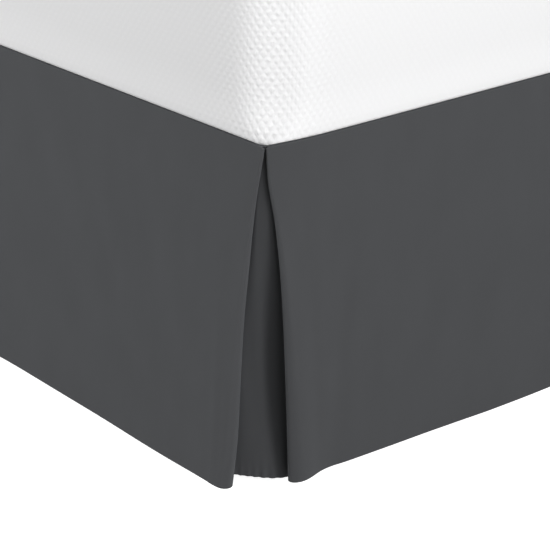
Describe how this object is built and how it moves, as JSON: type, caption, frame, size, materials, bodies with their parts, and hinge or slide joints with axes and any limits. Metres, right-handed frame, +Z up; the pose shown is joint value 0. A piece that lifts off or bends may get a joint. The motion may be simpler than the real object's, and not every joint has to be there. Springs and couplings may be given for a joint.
{
  "type": "bed skirt on a bed with mattress and box spring",
  "caption": "Tailored bed skirt with a deck sheet, flat drop panels and an open inverted pleat at each foot corner, hung on a plain bed with mattress, box spring and metal frame.",
  "frame": {"origin": "on the floor under the bed's centre leg, in the middle of the bed's outline", "axes": "+Z up, -Y out of the foot of the bed, +X towards its right-hand side seen from the foot"},
  "size_m": [1.5385, 2.0473, 0.681],
  "materials": {
    "charcoal_microfibre": "smooth brushed matt weave",
    "mattress_knit": "white diamond knit",
    "box_spring_ticking": "plain pale ticking",
    "frame_steel": "black powder coat",
    "glide_plastic": "matt black"
  },
  "bodies": {
    "root": {"skirt_deck": "charcoal_microfibre", "skirt_foot_panel": "charcoal_microfibre", "skirt_side_panel_right": "charcoal_microfibre", "skirt_side_panel_left": "charcoal_microfibre", "corner_pleat_right": "charcoal_microfibre", "corner_pleat_left": "charcoal_microfibre", "mattress": "mattress_knit", "box_spring": "box_spring_ticking", "side_rail_right": "frame_steel", "side_rail_left": "frame_steel", "cross_bar_foot": "frame_steel", "cross_bar_middle": "frame_steel", "cross_bar_head": "frame_steel", "leg_foot_right": "frame_steel", "leg_foot_left": "frame_steel", "leg_middle_right": "frame_steel", "leg_middle_left": "frame_steel", "leg_middle_centre": "frame_steel", "leg_head_right": "frame_steel", "leg_head_left": "frame_steel", "glide_foot_right": "glide_plastic", "glide_foot_left": "glide_plastic", "glide_middle_right": "glide_plastic", "glide_middle_left": "glide_plastic", "glide_middle_centre": "glide_plastic", "glide_head_right": "glide_plastic", "glide_head_left": "glide_plastic"}
  },
  "joints": []
}
